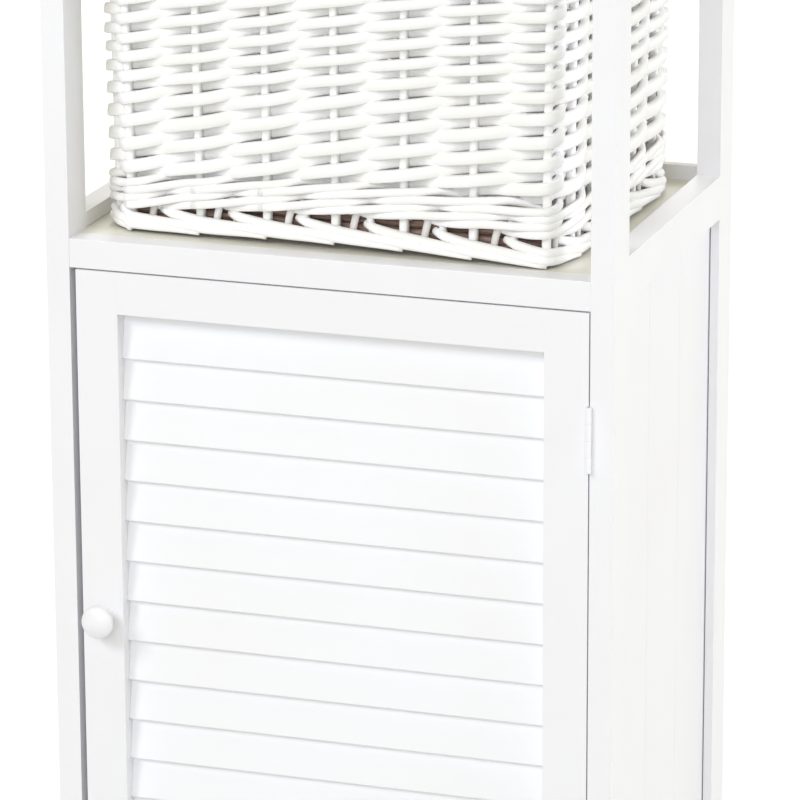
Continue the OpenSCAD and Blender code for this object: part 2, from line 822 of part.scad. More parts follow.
// Countersunk screw along +X from the face of a frame leaf
module hinge_screw(z, play, extra) {
    translate([0, leaf_w / 2 + 1, z]) rotate([0, 90, 0]) {
        cylinder(r1 = hinge_screw_head_r + play, r2 = hinge_screw_r + play, h = leaf_t);
        cylinder(r = hinge_screw_r + play, h = hinge_screw_l + extra);
    }
}
module frame_leaf_screws(z, play = 0, extra = 0) {
    for (s = [-1, 1])
        translate([hinge_x + leaf_gap / 2, 0, 0])
            hinge_screw(z + hinge_h / 2 + s * hinge_screw_pitch / 2, play, extra);
}
module door_leaf_screws(z, play = 0, extra = 0) {
    for (s = [-1, 1])
        translate([hinge_x - leaf_gap / 2, 0, 0]) mirror([1, 0, 0])
            hinge_screw(z + hinge_h / 2 + s * hinge_screw_pitch / 2, play, extra);
}
module frame_leaf(z) {
    color(paint) placed() difference() {
        union() {
            difference() {
                frame_leaf_plate(z);
                knuckle_room(z, 1);
            }
            knuckles(z, 0);
        }
        pin_hole(z);
        frame_leaf_screws(z, hole_play, 0);
    }
}
module door_leaf(z) {
    color(paint) placed() difference() {
        union() {
            difference() {
                door_leaf_plate(z);
                knuckle_room(z, 0);
            }
            knuckles(z, 1);
        }
        pin_hole(z);
        door_leaf_screws(z, hole_play, 0);
    }
}
module hinge_pin(z) {
    color(steel) placed() translate([hinge_x, hinge_y, z]) cylinder(r = hinge_pin_r, h = hinge_h);
}
module upper_hinge_frame_leaf() { frame_leaf(upper_hinge_z); }
module upper_hinge_door_leaf() { door_leaf(upper_hinge_z); }
module upper_hinge_pin() { hinge_pin(upper_hinge_z); }
module lower_hinge_frame_leaf() { frame_leaf(lower_hinge_z); }
module lower_hinge_door_leaf() { door_leaf(lower_hinge_z); }
module lower_hinge_pin() { hinge_pin(lower_hinge_z); }
module hinge_frame_screws() {
    color(steel) placed() for (z = [upper_hinge_z, lower_hinge_z]) frame_leaf_screws(z);
}
module hinge_door_screws() {
    color(steel) placed() for (z = [upper_hinge_z, lower_hinge_z]) door_leaf_screws(z);
}

// ---- Turned knob ----

// Half outline of the knob: foot, hollow neck, rounded rim and domed face
function knob_outline() =
    let (
        steps = 8,
        rim_low = knob_h - knob_dome - knob_rim_t,
        rim_mid = rim_low + knob_rim_t / 2,
        rim_round = knob_rim_t / 2,
        rim_x = knob_r - rim_round,
        neck = [for (i = [0 : steps]) let (t = i / steps)
            [knob_neck_r + (knob_foot_r - knob_neck_r) * pow(1 - t, 3) + (rim_x - knob_neck_r) * pow(t, 5),
             rim_low * t]],
        rim = [for (i = [1 : steps]) let (a = -90 + 150 * i / steps)
            [rim_x + rim_round * cos(a), rim_mid + rim_round * sin(a)]],
        edge = rim[len(rim) - 1],
        face = [for (i = [1 : steps]) let (t = 1 - i / steps)
            [edge[0] * t, edge[1] + (knob_h - edge[1]) * (1 - t * t)]]
    )
    concat([[0, 0]], neck, rim, face);

module knob() {
    color(paint) placed() translate([knob_x, 0, knob_z]) rotate([90, 0, 0]) difference() {
        rotate_extrude() polygon(knob_outline());
        translate([0, 0, -cut])
            cylinder(r = knob_screw_r + hole_play, h = cut + knob_screw_reach + end_play);
    }
}
module knob_screw() {
    color(steel) placed() {
        bar_y([knob_x, -knob_screw_reach, knob_z], knob_screw_r, knob_screw_reach + door_t);
        bar_y([knob_x, door_t, knob_z], knob_screw_head_r, knob_screw_head_t);
    }
}

// ---- Magnetic catch under the shelf, and its strike plate on the door ----

module magnet_block(play = 0) {
    translate([catch_x - magnet_w / 2 - play, magnet_y, magnet_z - play])
        cube([magnet_w + 2 * play, magnet_proud + magnet_d + play, magnet_h + 2 * play]);
}
module catch_screw_shanks(play = 0, extra = 0) {
    for (s = [-1, 1])
        translate([catch_x + s * (catch_w + catch_ear) / 2, catch_y + catch_d / 2, catch_top - catch_ear_t])
            cylinder(r = catch_screw_r + play, h = catch_ear_t + catch_screw_reach + extra);
}
module catch_body() {
    color(plastic) placed() difference() {
        union() {
            translate([catch_x - catch_w / 2, catch_y, catch_top - catch_h])
                cube([catch_w, catch_d, catch_h]);
            translate([catch_x - catch_w / 2 - catch_ear, catch_y, catch_top - catch_ear_t])
                cube([catch_w + 2 * catch_ear, catch_d, catch_ear_t]);
        }
        magnet_block(hole_play);
        catch_screw_shanks(hole_play, 0);
    }
}
module catch_magnet() {
    color(magnet_grey) placed() magnet_block();
}
module catch_screws() {
    color(steel) placed() {
        catch_screw_shanks();
        for (s = [-1, 1])
            translate([catch_x + s * (catch_w + catch_ear) / 2, catch_y + catch_d / 2,
                       catch_top - catch_ear_t - catch_screw_head_t])
                cylinder(r = catch_screw_head_r, h = catch_screw_head_t);
    }
}
strike_screw_xs = [for (s = [-1, 1]) catch_x + s * (strike_w / 2 - catch_screw_head_r - 1)];
module strike_screw_shanks(play = 0, extra = 0) {
    for (x = strike_screw_xs)
        bar_y([x, door_t - catch_screw_reach - extra, strike_z + strike_h / 2],
              catch_screw_r + play, catch_screw_reach + extra + strike_t);
}
module strike_plate() {
    color(steel) placed() difference() {
        translate([catch_x - strike_w / 2, door_t, strike_z]) cube([strike_w, strike_t, strike_h]);
        strike_screw_heads(hole_play, cut);
        strike_screw_shanks(hole_play, 0);
    }
}
// Countersunk heads, flush with the strike plate
module strike_screw_heads(play = 0, extra = 0) {
    for (x = strike_screw_xs)
        translate([x, door_t, strike_z + strike_h / 2]) rotate([-90, 0, 0]) {
            cylinder(r1 = catch_screw_r + play, r2 = catch_screw_head_r + play, h = strike_t);
            if (extra > 0)
                translate([0, 0, strike_t]) cylinder(r = catch_screw_head_r + play, h = extra);
        }
}
module strike_screws() {
    color(steel) placed() {
        strike_screw_shanks();
        strike_screw_heads();
    }
}

// ---- Basket ----

module rounded_plate(w, d, r, h) {
    linear_extrude(h) {
        square([w - 2 * r, d], center = true);
        square([w, d - 2 * r], center = true);
        for (sx = [-1, 1], sy = [-1, 1])
            translate([sx * (w / 2 - r), sy * (d / 2 - r)]) circle(r);
    }
}
// Plate whose edge stands this far out from the woven sides
module basket_plate(out, z, h) {
    translate([0, 0, z])
        rounded_plate(basket_w + 2 * out, basket_d + 2 * out, max(basket_corner_r + out, basket_tight_r), h);
}
// Ring of a wall's thickness whose outer face stands this far out from the woven sides
module basket_ring(out, t, z, h) {
    difference() {
        basket_plate(out, z, h);
        basket_plate(out - t, z - cut, h + 2 * cut);
    }
}
module in_bay() {
    placed() translate([basket_x, basket_y, basket_z]) rotate([0, 0, basket_yaw]) children();
}
module basket_foot_border() {
    color(wicker) in_bay() basket_ring(foot_border_out, foot_border_t, 0, foot_border_h);
}
// Point and outward direction at a distance along the middle line, from the front left corner to the right
function line_at(s) =
    s < 0 ? -line_at(s + half_line)
    : s >= half_line ? -line_at(s - half_line)
    : s < line_front ? [[s - line_front / 2, -line_d / 2], [0, -1]]
    : s < line_front + line_arc ?
        let (turn = 90 * (s - line_front) / line_arc)
        [[line_front / 2 + line_r * sin(turn), -line_side / 2 - line_r * cos(turn)], [sin(turn), -cos(turn)]]
    : s < line_front + line_arc + line_side ?
        [[line_w / 2, s - line_front - line_arc - line_side / 2], [1, 0]]
    : let (turn = 90 * (s - line_front - line_arc - line_side) / line_arc)
        [[line_front / 2 + line_r * cos(turn), line_side / 2 + line_r * sin(turn)], [cos(turn), sin(turn)]];
function off_line(s, out) = let (at = line_at(s)) at[0] + out * at[1];
// Distance of a stake along the middle line; the back and the left side repeat the front and the right side
function stake_at(i) =
    i >= half_stakes ? half_line + stake_at(i - half_stakes)
    : i < long_stakes ?
        line_front / 2 + stake_shift + (i - (long_stakes - 1) / 2) * long_stake_step
    : line_front + line_arc + line_side / 2 + side_stake_shift
        + (i - long_stakes - (short_stakes - 1) / 2) * short_stake_step;
function at_corner(i) = i % half_stakes == long_stakes - 1 || i % half_stakes == half_stakes - 1;
// Outline of a row whose rods bulge out before each stake and draw in between the stakes
function bulging_row() = [
    for (i = [0 : 2 * half_stakes - 1])
        let (start = stake_at(i), bay = stake_at(i + 1) - start)
        for (t = at_corner(i) ? [0, 0.25, 0.5, 0.75] : [0, 0.5])
            off_line(start + t * bay, bulge_root + (bulge_out - bulge_root) * abs(1 - 2 * t))
];
function row_z(n) = thick_rod_h * min(n, thick_rows) + thin_rod_h * max(n - thick_rows, 0);
module basket_walls() {
    color(wicker) in_bay() difference() {
        union() {
            basket_plate(wale_out, wale_z, wale_h);
            basket_plate(rod_t / 2 - bulge_out, foot_border_h, basket_h - foot_border_h - top_border_h);
            for (n = [2 : 2 : row_count])
                translate([0, 0, woven_z + row_z(n - 1)])
                    linear_extrude(row_z(n) - row_z(n - 1)) polygon(bulging_row());
        }
        basket_plate(-basket_wall_t, foot_border_h - cut, basket_h);
    }
}
module basket_top_border() {
    color(wicker) in_bay()
        basket_ring(top_border_out, top_border_t, basket_h - top_border_h, top_border_h);
}
module basket_base() {
    in = foot_border_t - foot_border_out + joint_play;
    color(wicker) in_bay() basket_plate(-in, foot_border_h - basket_base_t, basket_base_t);
}

front_left_post();
front_right_post();
rear_left_post();
rear_right_post();
bottom_front_rail();
shelf_front_rail();
upper_front_rail();
top_front_rail();
bottom_left_rail();
shelf_left_rail();
upper_left_rail();
top_left_rail();
bottom_right_rail();
shelf_right_rail();
upper_right_rail();
top_right_rail();
bottom_rear_rail();
shelf_rear_rail();
upper_rear_rail();
top_rear_rail();
cupboard_floor();
basket_shelf();
upper_shelf();
top_board();
inner_shelf();
shelf_pegs();
left_front_panel_board();
left_middle_panel_board();
left_rear_panel_board();
right_front_panel_board();
right_middle_panel_board();
right_rear_panel_board();
back_panel();
back_panel_pins();
frame_dowels();
foot_glides();
door_knob_stile();
door_hinge_stile();
door_top_rail();
door_bottom_rail();
louvre_slats();
upper_hinge_frame_leaf();
upper_hinge_door_leaf();
upper_hinge_pin();
lower_hinge_frame_leaf();
lower_hinge_door_leaf();
lower_hinge_pin();
hinge_frame_screws();
hinge_door_screws();
knob();
knob_screw();
catch_body();
catch_magnet();
catch_screws();
strike_plate();
strike_screws();
basket_walls();
basket_base();
basket_foot_border();
basket_top_border();
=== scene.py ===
"""Bathroom storage tower: paint, light and the woven willow basket, built around the fixed frame.

Everything is in metres, in the frame's own axes: X to the right, -Y to the front, Z up.
"""
import json
import math
import random

import bpy
from mathutils import Matrix, Vector


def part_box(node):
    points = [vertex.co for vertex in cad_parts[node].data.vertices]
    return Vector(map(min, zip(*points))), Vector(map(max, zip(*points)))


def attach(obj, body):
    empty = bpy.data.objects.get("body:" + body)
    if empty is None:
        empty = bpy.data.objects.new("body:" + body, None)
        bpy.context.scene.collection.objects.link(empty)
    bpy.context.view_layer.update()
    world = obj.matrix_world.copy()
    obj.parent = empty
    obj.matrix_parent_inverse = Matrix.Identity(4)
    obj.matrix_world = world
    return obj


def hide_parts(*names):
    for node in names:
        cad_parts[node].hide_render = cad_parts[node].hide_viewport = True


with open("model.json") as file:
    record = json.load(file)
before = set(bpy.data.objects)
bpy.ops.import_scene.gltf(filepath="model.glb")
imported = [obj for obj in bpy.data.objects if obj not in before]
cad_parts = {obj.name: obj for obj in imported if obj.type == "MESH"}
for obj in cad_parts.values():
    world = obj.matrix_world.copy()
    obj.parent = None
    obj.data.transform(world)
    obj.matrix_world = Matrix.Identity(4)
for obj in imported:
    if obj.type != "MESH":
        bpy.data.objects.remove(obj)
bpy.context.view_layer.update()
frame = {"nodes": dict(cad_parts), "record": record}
nodes = frame["nodes"]

MM = 0.001
TAU = 2 * math.pi


# ---------------------------------------------------------------- small helpers
def mix(a, b, t):
    """a at t = 0 and b at t = 1."""
    return a + (b - a) * t


def smoothstep(lo, hi, x):
    """0 below lo, 1 above hi, and a smooth rise between them."""
    t = min(1.0, max(0.0, (x - lo) / (hi - lo)))
    return t * t * (3 - 2 * t)


def signed_power(value, power):
    """The value's size to that power, with the value's sign."""
    return math.copysign(abs(value) ** power, value)


def srgb(r, g, b):
    """A colour given as 0..255 screen values, as the linear RGBA that the shaders take."""
    def linear(c):
        c /= 255
        return c / 12.92 if c <= 0.04045 else ((c + 0.055) / 1.055) ** 2.4
    return (linear(r), linear(g), linear(b), 1.0)


# ---------------------------------------------------------------- materials
# The sockets of Blender's Mix node that it uses for colours.
MIX_FACTOR, MIX_FIRST, MIX_SECOND = 0, 6, 7
MIX_RESULT = 2


class Shader:
    """A material with a Principled shader, and short calls for the nodes that feed it."""

    def __init__(self, name, colour, roughness, **settings):
        self.material = bpy.data.materials.new(name)
        self.material.use_nodes = True
        self.tree = self.material.node_tree
        self.surface = self.tree.nodes["Principled BSDF"]
        self.surface.inputs["Base Color"].default_value = colour
        self.surface.inputs["Roughness"].default_value = roughness
        for socket, value in settings.items():
            self.surface.inputs[socket.replace("_", " ")].default_value = value
        self.place = self.add("ShaderNodeTexCoord").outputs["Object"]

    def add(self, kind, **properties):
        node = self.tree.nodes.new(kind)
        for name, value in properties.items():
            setattr(node, name, value)
        return node

    def link(self, start, end):
        self.tree.links.new(start, end)

    def stretched(self, scale, place=None):
        """The object's own coordinates, or another place, scaled along each axis."""
        mapping = self.add("ShaderNodeMapping")
        mapping.inputs["Scale"].default_value = scale
        self.link(place or self.place, mapping.inputs["Vector"])
        return mapping.outputs["Vector"]

    def noise(self, scale, detail=3.0, stretch=(1, 1, 1), place=None):
        node = self.add("ShaderNodeTexNoise")
        node.inputs["Scale"].default_value = scale
        node.inputs["Detail"].default_value = detail
        self.link(self.stretched(stretch, place), node.inputs["Vector"])
        return node.outputs["Fac"]

    def attribute(self, name, output):
        """A value that the mesh carries under that name."""
        return self.add("ShaderNodeAttribute", attribute_name=name).outputs[output]

    def ramp(self, factor, low, high, start, end):
        """A colour or grey that goes from start at low to end at high."""
        node = self.add("ShaderNodeValToRGB")
        node.color_ramp.elements[0].position = low
        node.color_ramp.elements[0].color = start
        node.color_ramp.elements[1].position = high
        node.color_ramp.elements[1].color = end
        self.link(factor, node.inputs["Fac"])
        return node.outputs["Color"]

    def blend(self, factor, first, second):
        """A mix of two colours that other nodes give, by a factor that a node gives."""
        node = self.add("ShaderNodeMix", data_type="RGBA")
        self.link(factor, node.inputs[MIX_FACTOR])
        self.link(first, node.inputs[MIX_FIRST])
        self.link(second, node.inputs[MIX_SECOND])
        return node.outputs[MIX_RESULT]

    def bump(self, *layers):
        """Layers of (height, depth in metres), each laid over the one before it."""
        normal = None
        for height, depth in layers:
            node = self.add("ShaderNodeBump")
            node.inputs["Distance"].default_value = depth
            node.inputs["Strength"].default_value = 1.0
            self.link(height, node.inputs["Height"])
            if normal:
                self.link(normal, node.inputs["Normal"])
            normal = node.outputs["Normal"]
        self.link(normal, self.surface.inputs["Normal"])

    def colour_from(self, output):
        self.link(output, self.surface.inputs["Base Color"])

    def roughness_from(self, factor, low, high):
        node = self.add("ShaderNodeMapRange")
        node.inputs["To Min"].default_value = low
        node.inputs["To Max"].default_value = high
        self.link(factor, node.inputs["Value"])
        self.link(node.outputs["Result"], self.surface.inputs["Roughness"])


WHITE_PAINT = srgb(243, 243, 247)
WHITE_PAINT_WARM = srgb(241, 240, 244)
SLAT_WHITE = srgb(244, 245, 249)
SLAT_WHITE_WARM = srgb(242, 242, 244)
# Painted shade: the shelf's white is the frame's paint made darker and yellower, for the dim, warm light
# in the bay.
SHELF_PAINTED_SHADE = srgb(237, 236, 225)
SHELF_PAINTED_SHADE_WARM = srgb(234, 233, 221)
PALE_BEIGE = srgb(226, 222, 208)
BOARD_WHITE = srgb(226, 225, 220)
BARE_WOOD = srgb(201, 168, 122)
BARE_WOOD_DARK = srgb(160, 122, 80)
ZINC = srgb(196, 199, 202)
PLASTIC = srgb(233, 234, 234)
MAGNET = srgb(62, 60, 60)
WILLOW_PAINT = srgb(251, 251, 252)
WILLOW_PAINT_WARM = srgb(248, 247, 243)
# Willow where the spray missed, and painted shade: the weave's deep gaps take this brown to look darker.
WILLOW_BARE_AND_SHADE = srgb(168, 143, 130)
WILLOW_BARE_AND_SHADE_DARK = srgb(92, 71, 61)
BLACK = (0, 0, 0, 1)
WHITE = (1, 1, 1, 1)

GRAIN_STRETCH = {"x": (0.05, 1, 1), "y": (1, 0.05, 1), "z": (1, 1, 0.05)}
SCRATCH_STRETCH = (1, 1, 6)


def painted_wood(name, axis, colour, warm, roughness=0.34):
    """Satin paint over sanded wood: a trace of grain along axis, orange peel and soft changes of sheen."""
    shader = Shader(name, colour, roughness, Specular_IOR_Level=0.42)
    cloud = shader.noise(scale=7, detail=2)
    shader.colour_from(shader.ramp(cloud, 0.35, 0.72, colour, warm))
    grain = shader.noise(scale=420, detail=4, stretch=GRAIN_STRETCH[axis])
    peel = shader.noise(scale=900, detail=2)
    swell = shader.noise(scale=24, detail=2, stretch=GRAIN_STRETCH[axis])
    shader.bump((swell, 0.06 * MM), (grain, 0.02 * MM), (peel, 0.008 * MM))
    shader.roughness_from(shader.noise(scale=60), roughness - 0.05, roughness + 0.07)
    return shader.material


def bare_wood(name):
    """Turned hardwood with a fine grain, as the dowels and the pegs show."""
    shader = Shader(name, BARE_WOOD, 0.62)
    grain = shader.noise(scale=300, detail=5, stretch=GRAIN_STRETCH["x"])
    shader.colour_from(shader.ramp(grain, 0.3, 0.7, BARE_WOOD_DARK, BARE_WOOD))
    shader.bump((grain, 0.05 * MM))
    return shader.material


def back_board(name):
    """Painted hardboard: flatter and a little greyer than the frame, with a fine fibrous stipple."""
    shader = Shader(name, BOARD_WHITE, 0.55)
    cloud = shader.noise(scale=9)
    shader.colour_from(shader.ramp(cloud, 0.3, 0.7, BOARD_WHITE, PALE_BEIGE))
    shader.bump((shader.noise(scale=700, detail=4), 0.03 * MM))
    return shader.material


def steel(name):
    """Zinc-plated steel with fine turned scratches."""
    shader = Shader(name, ZINC, 0.3, Metallic=1.0)
    scratches = shader.noise(scale=1500, stretch=SCRATCH_STRETCH)
    shader.roughness_from(scratches, 0.22, 0.42)
    shader.bump((scratches, 0.006 * MM))
    return shader.material


def moulded_plastic(name, colour, roughness):
    """Moulded plastic with the fine spark texture of its tool."""
    shader = Shader(name, colour, roughness)
    shader.bump((shader.noise(scale=2200, detail=2), 0.012 * MM))
    shader.roughness_from(shader.noise(scale=90, detail=2), roughness - 0.05, roughness + 0.08)
    return shader.material


def painted_hinge(name):
    """The hinge leaves are painted with the frame: a slightly thicker, glossier coat over metal."""
    shader = Shader(name, WHITE_PAINT, 0.28, Specular_IOR_Level=0.5)
    cloud = shader.noise(scale=60)
    shader.colour_from(shader.ramp(cloud, 0.35, 0.8, WHITE_PAINT, WHITE_PAINT_WARM))
    shader.bump((shader.noise(scale=800, detail=2), 0.012 * MM))
    return shader.material


# How far, up or down, the blotches move the line between paint and the willow tone, which is partly
# painted shade.
RAGGED_REACH = 0.25


def painted_wicker(name):
    """White paint over willow, thin or missing where the spray did not reach, with streaks and knots.
    The willow brown deep in the wall is also painted shade that darkens the gaps of the weave.
    """
    shader = Shader(name, WILLOW_PAINT, 0.5, Specular_IOR_Level=0.35)
    bare = shader.attribute("bare", "Fac")
    along = shader.attribute("rod_place", "Vector")
    streaks = shader.noise(scale=1.0, detail=4, stretch=(60, 900, 900), place=along)
    blotches = shader.noise(scale=1.0, stretch=(25, 120, 120), place=along)
    paint = shader.ramp(blotches, 0.35, 0.75, WILLOW_PAINT, WILLOW_PAINT_WARM)
    willow = shader.ramp(streaks, 0.3, 0.7, WILLOW_BARE_AND_SHADE_DARK, WILLOW_BARE_AND_SHADE)
    ragged = shader.add("ShaderNodeMath", operation="MULTIPLY_ADD")
    shader.link(blotches, ragged.inputs[0])
    ragged.inputs[1].default_value = 2 * RAGGED_REACH
    ragged.inputs[2].default_value = -RAGGED_REACH
    reach = shader.add("ShaderNodeMath", operation="ADD", use_clamp=True)
    shader.link(bare, reach.inputs[0])
    shader.link(ragged.outputs[0], reach.inputs[1])
    # Where the willow brown shows deep in the wall, it also paints shade into the gaps.
    unpainted_and_shaded = shader.ramp(reach.outputs[0], 0.3, 0.85, BLACK, WHITE)
    shader.colour_from(shader.blend(unpainted_and_shaded, paint, willow))
    knots = shader.noise(scale=1.0, detail=1, stretch=(16, 60, 60), place=along)
    shader.bump((knots, 0.5 * MM), (streaks, 0.09 * MM))
    shader.roughness_from(blotches, 0.42, 0.6)
    return shader.material


PAINT = {axis: painted_wood("satin_paint_" + axis, axis, WHITE_PAINT, WHITE_PAINT_WARM) for axis in "xyz"}
FINISH = {
    # painted shade: a darker, yellower copy of the frame's white for the shelf
    "shelf_paint_with_painted_shade": painted_wood("shelf_paint_with_painted_shade", "x", SHELF_PAINTED_SHADE, SHELF_PAINTED_SHADE_WARM),
    "slat_paint": painted_wood("slat_paint", "x", SLAT_WHITE, SLAT_WHITE_WARM, 0.38),
    "back_board": back_board("back_board"),
    "bare_wood": bare_wood("bare_wood"),
    "painted_hinge": painted_hinge("painted_hinge"),
    "steel": steel("zinc_plated_steel"),
    "white_plastic": moulded_plastic("white_plastic", PLASTIC, 0.42),
    "magnet": moulded_plastic("ground_magnet", MAGNET, 0.5),
    "painted_wicker": painted_wicker("painted_wicker"),
}
SLOT_OF = {part["node"]: part["material_slot"] for part in frame["record"]["subparts"]}


def grain_axis(name):
    """The axis that a wooden piece's grain follows: the longest side of its box."""
    lo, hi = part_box(name)
    size = hi - lo
    return max("xyz", key=lambda axis: size["xyz".index(axis)])


def finish(obj, name):
    """Gives a CAD node's object its finish; frame paint has its grain along the piece."""
    material = FINISH.get(SLOT_OF[name]) or PAINT[grain_axis(name)]
    # The shelf takes the darker, yellower white: painted shade, not a different paint.
    if name == "basket_shelf":
        material = FINISH["shelf_paint_with_painted_shade"]
    for holder in obj.material_slots:
        holder.material = material
    if not obj.material_slots:
        obj.data.materials.append(material)


# ---------------------------------------------------------------- eased edges on the frame's own pieces
# How far edges are rounded, in millimetres, for the first of these words that a piece's name holds.
EASED_EDGES = (
    ("screws", 0),
    ("pegs", 0),
    ("leaf", 0.45),
    ("slats", 1.1),
    ("door_", 0.6),
    ("panel_board", 0.5),
    ("top_board", 2.5),
    ("post", 0.8),
    ("rail", 0.5),
    ("shelf", 0.5),
    ("floor", 0.5),
)
EDGE_SEGMENTS = 3
SHARP_ANGLE = math.radians(40)
FLAT_ANGLE = math.radians(0.6)
WELD_REACH = 0.001


def edge_radius(name):
    """How far a piece's edges are rounded, in millimetres; 0 leaves the piece as it is."""
    return next((radius for word, radius in EASED_EDGES if word in name), 0)


def ease_edges(obj, radius):
    """Joins the split corners of the imported mesh, rounds its edges and keeps the broad faces flat."""
    weld = obj.modifiers.new("weld", "WELD")
    weld.merge_threshold = WELD_REACH * MM
    flat = obj.modifiers.new("flat_faces", "DECIMATE")
    flat.decimate_type = "DISSOLVE"
    flat.angle_limit = FLAT_ANGLE
    bevel = obj.modifiers.new("eased_edges", "BEVEL")
    bevel.width = radius * MM
    bevel.segments = EDGE_SEGMENTS
    bevel.limit_method = "ANGLE"
    bevel.angle_limit = SHARP_ANGLE
    bevel.use_clamp_overlap = True
    even = obj.modifiers.new("even_faces", "WEIGHTED_NORMAL")
    even.keep_sharp = True


def dress_frame():
    """Gives every CAD node its finish, and the wood and the hinge leaves eased edges."""
    for name, node in nodes.items():
        finish(node, name)
        radius = edge_radius(name)
        if radius:
            ease_edges(node, radius)


dress_frame()


# ---------------------------------------------------------------- basket: sizes
# Lengths here are in millimetres, in the basket's own axes: from its centre and its bottom, before the
# small turn that it has on the shelf.
foot_lo, foot_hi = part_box("basket_foot_border")
rim_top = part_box("basket_top_border")[1].z
BASKET_HEIGHT = (rim_top - foot_lo.z) / MM
BASKET_TURN = math.radians(-2)
RING_SHIFT = 1.6
BASKET_HOME = Vector((
    (foot_lo.x + foot_hi.x) / 2 + RING_SHIFT * MM,
    (foot_lo.y + foot_hi.y) / 2,
    foot_lo.z,
))

# The ring is the line that the stakes stand on, at FLARE_LEVEL of the height. The basket widens upwards.
RING_HALF_X = 160.4
RING_HALF_Y = 114.75
RING_CORNER = 8.0
BASKET_FLARE = 0.021
FLARE_LEVEL = 0.75

# The stakes stand in even steps along each side, moved on by the shift, and a few are nudged along.
LONG_SIDE_STAKES = 7
LONG_SIDE_STEP = 49.5
LONG_SIDE_SHIFT = 3.9
SHORT_SIDE_STAKES = 5
SHORT_SIDE_STEP = 43.5
SHORT_SIDE_SHIFT = 3.0
STAKE_NUDGES = {0: -1.2, 6: 2.0, 12: -12.0, 18: 2.0, 23: 10.7}

# The rods of the walls: thick rows at the bottom and thinner ones above.
ROWS_START = 42.6
ROWS_END = 202.0
ROW_PITCH_LOW = 7.8
ROW_PITCH_HIGH = 6.55
THICK_ROWS = 9
THINNING_ROWS = (6, 12)
ROD_FULLNESS = 0.57

RINGS_PER_BAY = 12
ROD_SIDES = 12


class Ring:
    """A rectangle with round corners, walked from the front's left end to the right and on round."""

    def __init__(self, half_x, half_y, corner):
        self.half_x, self.half_y, self.corner = half_x, half_y, corner
        self.side_x = 2 * (half_x - corner)
        self.side_y = 2 * (half_y - corner)
        self.arc = math.pi / 2 * corner
        self.length = 2 * (self.side_x + self.side_y) + 4 * self.arc

    def at(self, distance):
        """The point and the outward normal at that distance along the line."""
        distance %= self.length
        x, y, heading = -self.half_x + self.corner, -self.half_y, 0.0
        for side in (self.side_x, self.side_y) * 2:
            ahead = Vector((math.cos(heading), math.sin(heading), 0))
            outward = Vector((math.sin(heading), -math.cos(heading), 0))
            if distance <= side:
                return Vector((x, y, 0)) + ahead * distance, outward
            start = Vector((x, y, 0)) + ahead * side
            distance -= side
            centre = start - outward * self.corner
            if distance <= self.arc:
                turn = distance / self.corner
                normal = outward * math.cos(turn) + ahead * math.sin(turn)
                return centre + normal * self.corner, normal
            distance -= self.arc
            end = centre + ahead * self.corner
            x, y = end.x, end.y
            heading += math.pi / 2
        return Vector((x, y, 0)), outward


ring = Ring(RING_HALF_X, RING_HALF_Y, RING_CORNER)


def first_stake(half, shift, count, step):
    """How far along a side's straight stretch its first stake stands."""
    return half - RING_CORNER + shift - (count - 1) / 2 * step


def stake_distances():
    """Where the stakes stand along the ring: the rear and the left repeat the front and the right side."""
    start_x = first_stake(RING_HALF_X, LONG_SIDE_SHIFT, LONG_SIDE_STAKES, LONG_SIDE_STEP)
    start_y = first_stake(RING_HALF_Y, SHORT_SIDE_SHIFT, SHORT_SIDE_STAKES, SHORT_SIDE_STEP)
    half = [start_x + i * LONG_SIDE_STEP for i in range(LONG_SIDE_STAKES)]
    half += [ring.side_x + ring.arc + start_y + i * SHORT_SIDE_STEP for i in range(SHORT_SIDE_STAKES)]
    places = half + [place + ring.length / 2 for place in half]
    for stake, nudge in STAKE_NUDGES.items():
        places[stake] += nudge
    return places


STAKES = stake_distances()
STAKE_COUNT = len(STAKES)
STAKE_POINTS = [ring.at(distance)[0] for distance in STAKES]


# In what follows, a turn is a place round the basket, counted in stakes: 2.5 lies halfway between stakes
# 2 and 3, and STAKE_COUNT further on is the same place again.
def ring_distance(turn):
    """The distance along the ring at that turn."""
    whole = math.floor(turn)
    laps, index = divmod(whole, STAKE_COUNT)
    start = STAKES[index]
    end = STAKES[index + 1] if index + 1 < STAKE_COUNT else STAKES[0] + ring.length
    return start + (end - start) * (turn - whole) + laps * ring.length


def on_ring(turn, depth, height):
    """(centre, outward normal) of a point at that height, depth outside the line from stake to stake."""
    outward = ring.at(ring_distance(turn))[1]
    whole = math.floor(turn)
    here = STAKE_POINTS[whole % STAKE_COUNT]
    place = here.lerp(STAKE_POINTS[(whole + 1) % STAKE_COUNT], turn - whole)
    flare = 1 + BASKET_FLARE * (height / BASKET_HEIGHT - FLARE_LEVEL)
    centre = place * flare + outward * depth
    centre.z = height
    return centre, outward


# How far the rows, the waling and the foot lie off their levels at each stake: they bow along each side,
# lower at the corners and higher past the middle.
ROW_SAG = (-9.0, -6.2, -3.2, 0.0, 1.3, 1.4, 0.0, -2.5, -3.2, -3.0, -2.0, -2.5,
           -4.0, -3.0, -2.0, -2.5, -3.5, -5.0, -6.0, -6.0, -5.0, -4.5, -5.5, -7.0)
WALE_SAG = (-9.0, -4.6, -2.2, 0.0, 0.6, -1.2, -4.4, -5.0, -4.0, -3.5, -3.5, -4.5,
            -4.5, -3.0, -2.0, -2.0, -3.0, -4.5, -6.0, -6.5, -6.0, -6.0, -7.0, -8.6)
FOOT_SAG = (0.2, 1.2, 2.8, 3.2, 2.9, 1.6, 0.0, 0.3, 1.2, 1.6, 1.0, 0.2,
            0.4, 1.8, 3.0, 3.2, 2.4, 1.0, 0.2, 0.5, 1.2, 1.2, 0.6, 0.2)


